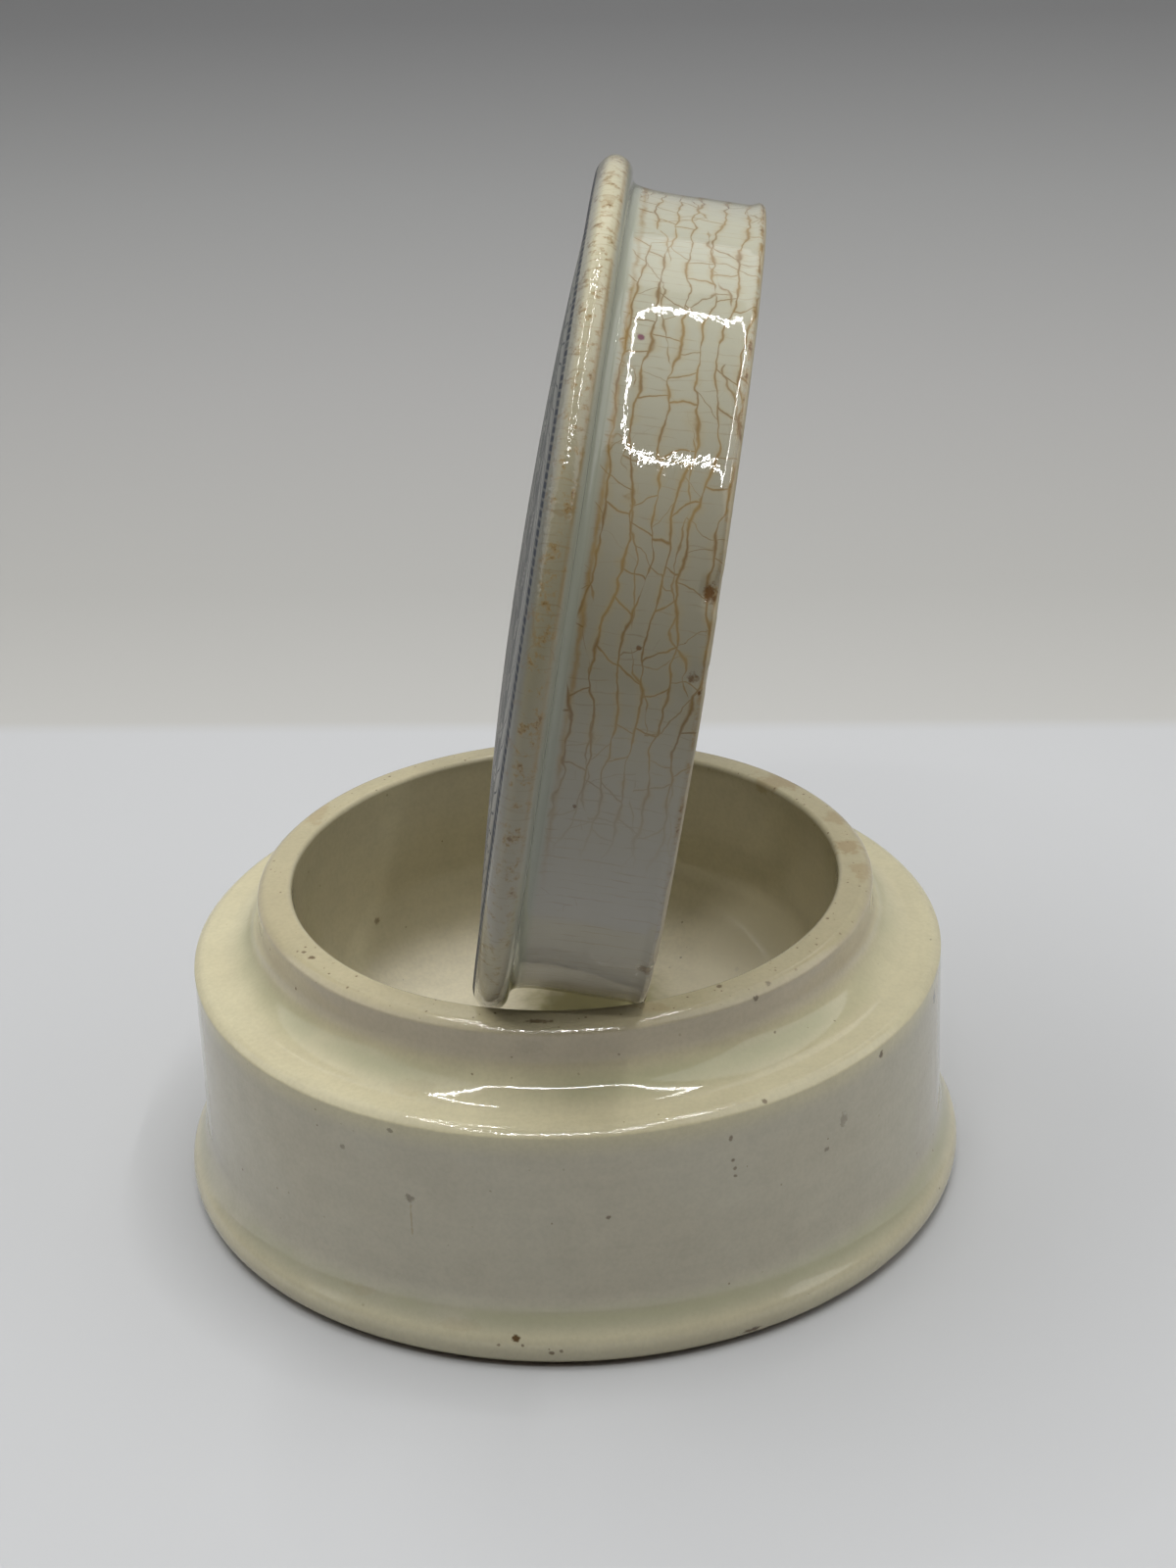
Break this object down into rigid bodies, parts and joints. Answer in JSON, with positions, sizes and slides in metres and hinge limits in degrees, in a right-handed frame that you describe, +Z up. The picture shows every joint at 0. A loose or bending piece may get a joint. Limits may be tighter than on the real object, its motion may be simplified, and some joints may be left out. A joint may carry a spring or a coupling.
{
  "type": "cold cream pot",
  "caption": "Stepped round glazed pot with a necked mouth, its shallow beaded lid standing on edge in the mouth and lifting out.",
  "frame": {"origin": "centre of the pot's foot, on the plane it stands on", "axes": "+Z up along the pot's axis; the standing lid's face looks to -X and its open side to +X; the lid's axis lies in the XZ plane"},
  "size_m": [0.076, 0.0794, 0.1002],
  "materials": {
    "cream_glaze": "glossy cream lead glaze, yellower on the edges and pooled grey-green in the hollows",
    "crazed_white_glaze": "glossy blue-white glaze with brown-stained crazing; blue-grey transfer-style ornament on the face"
  },
  "bodies": {
    "pot": {"pot": "cream_glaze"},
    "lid": {"lid": "crazed_white_glaze"}
  },
  "joints": [
    {"name": "lid_lift", "type": "slide", "parent": "pot", "child": "lid", "axis": [0, 0, 1], "range_m": [0, 0.05]}
  ]
}
